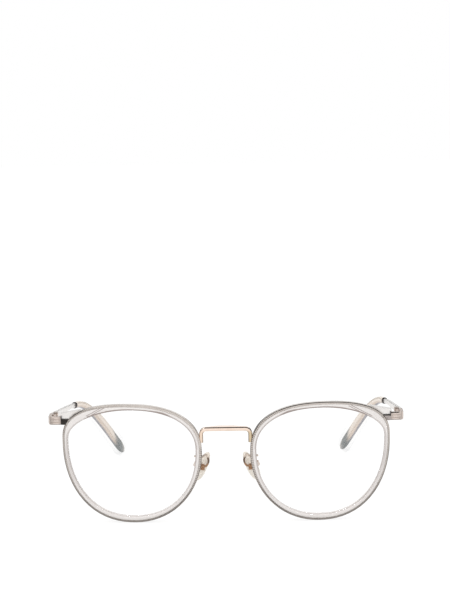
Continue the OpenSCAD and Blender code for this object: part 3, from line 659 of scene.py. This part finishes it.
# Painted shade: the plate darkens towards the rim.
toward_rim_shade = ramp(shaded, from_middle, tone_end_x, step_end_x)
plate_with_rim_shade = toned(shaded, toward_rim_shade, own_tone(shaded), painted_rim_shade)
off_line = step(shaded, "ABSOLUTE", step(shaded, "SUBTRACT", end_z, face_middle_z))
line = step(shaded, "COMPARE", off_line, line_from_middle, line_half)
line_tone = toned(shaded, step(shaded, "MULTIPLY", line, on_face), plate_with_rim_shade, line_fill)
wearers_left = step(shaded, "GREATER_THAN", end_x, 0.0)
# Painted dark reflection in the step, painted grey and matte on the wearer's left.
below_edge = step(shaded, "LESS_THAN", end_z, step_top_z - step_edge)
painted_grey_part = step(shaded, "MULTIPLY", wearers_left, below_edge)
painted_step_tone = toned(shaded, painted_grey_part, painted_dark_step, painted_grey_step)
in_painted_step = step(shaded, "MULTIPLY", step(shaded, "MAXIMUM", on_face, on_top), by_rim)
shaded.links.new(toned(shaded, in_painted_step, line_tone, painted_step_tone), surface(shaded, "Base Color"))
in_painted_grey = step(shaded, "MULTIPLY", painted_grey_part, by_rim)
plate_gloss = shaded.nodes["Map Range"].outputs["Result"]
shaded.links.new(blended(shaded, in_painted_grey, plate_gloss, step_rough), surface(shaded, "Roughness"))
shaded.links.new(blended(shaded, in_painted_grey, 1.0, 0.0), surface(shaded, "Metallic"))
for side in SIDES:
    smooth_piece("endpiece_" + side, "endpiece_plate_" + side, "front",
                 endpiece_metal, endpiece_round, metal_sharp)
    smooth_piece("front_hinge_" + side, "front_barrels_" + side, "front",
                 endpiece_metal, barrel_round, metal_sharp)

# The rim locks: two small bright polished blocks behind each endpiece, drawn together by a slotted
# steel screw. The hinge screws that hold the temples are of the same steel.
lock_round = 0.00006
screw_round = 0.00003

lock_metal = plated_metal("lock_metal", srgb(250, 247, 244), srgb(243, 239, 236), roughness=0.3)
screw_metal = plated_metal("screw_metal", srgb(214, 203, 194), srgb(196, 184, 175), roughness=0.22)
for side in SIDES:
    for block in ("upper", "lower"):
        end = block + "_" + side
        smooth_piece("rim_lock_" + end, "lock_block_" + end, "front", lock_metal,
                     lock_round, metal_sharp)
    smooth_piece("rim_lock_screw_" + side, "lock_screw_" + side, "front",
                 screw_metal, screw_round, metal_sharp)
    smooth_piece("hinge_screw_" + side, "pin_screw_" + side, "front",
                 screw_metal, screw_round, metal_sharp)

# The temples: one flat strip of pale satin metal each. The middle hinge barrel is soldered on by its
# leaf, and turns on the hinge screw.
strip_round = 0.00004

temple_metal = plated_metal("temple_metal", srgb(248, 245, 242), srgb(240, 236, 232), roughness=0.28)
for side in SIDES:
    body = "temple_" + side
    smooth_piece("temple_" + side, "temple_strip_" + side, body,
                 temple_metal, strip_round, metal_sharp)
    smooth_piece("temple_hinge_" + side, "temple_barrel_" + side, body,
                 temple_metal, barrel_round, metal_sharp)

# The collars: small dark polished metal rings on the strips. They sit against the mouths of the
# sleeves and close them.
collar_round = 0.00004
collar_sharp = 25

collar_metal = plated_metal("collar_metal", srgb(110, 106, 104), srgb(88, 85, 84), roughness=0.14)
for side in SIDES:
    smooth_piece("temple_collar_" + side, "collar_ring_" + side, "temple_" + side,
                 collar_metal, collar_round, collar_sharp)

# The temple sleeves: acetate tips pushed over the strips, champagne at the mouth and slate grey
# at the end. Painted shade turns the champagne to tan down the sides, and to grey on the outer side
# and underneath, by the way each face points.
fade_start = 0.058
fade_end = 0.061
pale_start = 0.0625
pale_end = 0.066
pale_share = 0.55
slate_tone = srgb(116, 121, 121)
side_shade_share = 0.45
under_start = 0.05
under_full = 0.65
grey_shade_tone = srgb(140, 140, 150)
warm_start = -0.75
warm_full = 0.05
tan_shade_tone = srgb(226, 208, 192)
sleeve_shine = 0.2
sleeve_round = 0.0001
soft_sharp = 40

sleeve_acetate = clear_plastic(
    "sleeve_acetate", srgb(251, 240, 228), srgb(246, 233, 220), roughness=0.1, clear=0.05
)
sleeve_tint_and_shade = sleeve_acetate.node_tree
surface(sleeve_tint_and_shade, "Specular IOR Level").default_value = sleeve_shine
sleeve_x, sleeve_y, _ = position(sleeve_tint_and_shade)
in_slate = step(
    sleeve_tint_and_shade, "MULTIPLY", ramp(sleeve_tint_and_shade, sleeve_y, fade_start, fade_end),
    ramp(sleeve_tint_and_shade, sleeve_y, pale_start, pale_end, 1.0, pale_share),
)
# Painted shade: darker by the way each face points, to tan on the sides and grey below and outside.
facing = sleeve_tint_and_shade.nodes.new("ShaderNodeSeparateXYZ")
sleeve_tint_and_shade.links.new(sleeve_tint_and_shade.nodes["Texture Coordinate"].outputs["Normal"], facing.inputs[0])
outer = step(sleeve_tint_and_shade, "MULTIPLY", facing.outputs["X"], step(sleeve_tint_and_shade, "SIGN", sleeve_x))
under = step(sleeve_tint_and_shade, "SUBTRACT", step(sleeve_tint_and_shade, "MULTIPLY", outer, side_shade_share), facing.outputs["Z"])
tan_shaded = toned(sleeve_tint_and_shade, ramp(sleeve_tint_and_shade, under, warm_start, warm_full), own_tone(sleeve_tint_and_shade), tan_shade_tone)
champagne = toned(sleeve_tint_and_shade, ramp(sleeve_tint_and_shade, under, under_start, under_full), tan_shaded, grey_shade_tone)
sleeve_tint_and_shade.links.new(toned(sleeve_tint_and_shade, in_slate, champagne, slate_tone), surface(sleeve_tint_and_shade, "Base Color"))
for side in SIDES:
    smooth_piece("temple_sleeve_" + side, "acetate_sleeve_" + side, "temple_" + side,
                 sleeve_acetate, sleeve_round, soft_sharp)

# The nose pads on their arms: clear soft plastic on small metal mounts, each rocking on a screw in
# the cup at the end of a round gold wire that is soldered to the rim. A brownish gold seat shows
# inside each pad. The wire's loop is painted dark as painted shade, with a painted highlight
# above it, and its low end and cup are a browner gold with a painted highlight on the outer side.
pad_thin = 0.92
pad_edge = 0.95
pad_index = 1.43
pad_shine = 0.25
pad_round = 0.00008
seat_x = 0.00895
seat_z = 0.0197
seat_half_width = 0.0008
seat_half_height = 0.0011
seat_gold = srgb(182, 142, 110)
mount_round = 0.00003

pad_plastic = clear_plastic(
    "pad_plastic", srgb(255, 250, 240), srgb(255, 246, 234), roughness=0.3, clear=0.0, index=pad_index
)
film = pad_plastic.node_tree
surface(film, "Specular IOR Level").default_value = pad_shine
edge_on = film.nodes.new("ShaderNodeLayerWeight")
cover = ramp(film, edge_on.outputs["Facing"], 0.0, 1.0, pad_thin, pad_edge)
film.links.new(cover, surface(film, "Alpha"))
pad_x, _, pad_z = position(film)
from_seat_x = step(film, "SUBTRACT", step(film, "ABSOLUTE", pad_x), seat_x)
in_seat = step(
    film, "MULTIPLY",
    step(film, "LESS_THAN", step(film, "ABSOLUTE", from_seat_x), seat_half_width),
    step(film, "COMPARE", pad_z, seat_z, seat_half_height),
)
film.links.new(toned(film, in_seat, own_tone(film), seat_gold), surface(film, "Base Color"))
mount_metal = plated_metal("mount_metal", srgb(250, 238, 226), srgb(244, 230, 216), roughness=0.4)

# The tones along the wire, from the loop down to the cup: painted shade and painted highlights.
loop_top_z = 0.0241
loop_low_z = 0.0236
cup_middle = (0.01076, -0.05898, 0.02029)
cup_reach = 0.0017
cup_outer_x = 0.0106
outer_highlight_tone = srgb(236, 222, 212)
loop_top_highlight = srgb(238, 222, 208)
arm_sheen = 0.35
stretch_low_z = 0.0212
stretch_top_z = 0.0216
pin_round = 0.00002

# The wire's own tone is dark: it shows on the loop as painted shade.
arm_metal = plated_metal("arm_metal", srgb(170, 146, 128), srgb(150, 126, 108), roughness=0.2)
wire = arm_metal.node_tree
wire_x, wire_y, wire_z = position(wire)
wire_off = step(wire, "ABSOLUTE", wire_x)
folded = wire.nodes.new("ShaderNodeCombineXYZ")
for socket, value in zip(folded.inputs, (wire_off, wire_y, wire_z)):
    feed(wire, value, socket)
from_cup = wire.nodes.new("ShaderNodeVectorMath")
from_cup.operation = "DISTANCE"
from_cup.inputs[1].default_value = cup_middle
wire.links.new(folded.outputs[0], from_cup.inputs[0])
loop_shade_and_highlight = toned(wire, ramp(wire, wire_z, loop_low_z, loop_top_z), own_tone(wire), loop_top_highlight)
by_cup = step(wire, "LESS_THAN", from_cup.outputs["Value"], cup_reach)
low_stretch = ramp(wire, wire_z, stretch_top_z, stretch_low_z)
low_tone = toned(wire, step(wire, "MAXIMUM", by_cup, low_stretch), loop_shade_and_highlight, seat_gold)
outer_highlight_stretch = step(wire, "MULTIPLY", low_stretch, step(wire, "GREATER_THAN", wire_off, cup_outer_x))
wire.links.new(toned(wire, outer_highlight_stretch, low_tone, outer_highlight_tone), surface(wire, "Base Color"))
on_loop = step(
    wire, "MULTIPLY", ramp(wire, wire_z, loop_top_z, loop_low_z),
    ramp(wire, wire_z, stretch_low_z, stretch_top_z),
)
wire.links.new(blended(wire, on_loop, arm_sheen, 1.0), surface(wire, "Metallic"))
for side in SIDES:
    body = "pad_" + side
    smooth_piece("nose_pad_" + side, "clear_pad_" + side, body, pad_plastic, pad_round, soft_sharp)
    smooth_piece("pad_mount_" + side, "pad_lug_" + side, body, mount_metal,
                 mount_round, metal_sharp)
    smooth_piece("pad_arm_" + side, "pad_wire_" + side, "front", arm_metal,
                 sharp=soft_sharp)
    smooth_piece("pad_screw_" + side, "pad_pin_" + side, "front", screw_metal,
                 pin_round, metal_sharp)
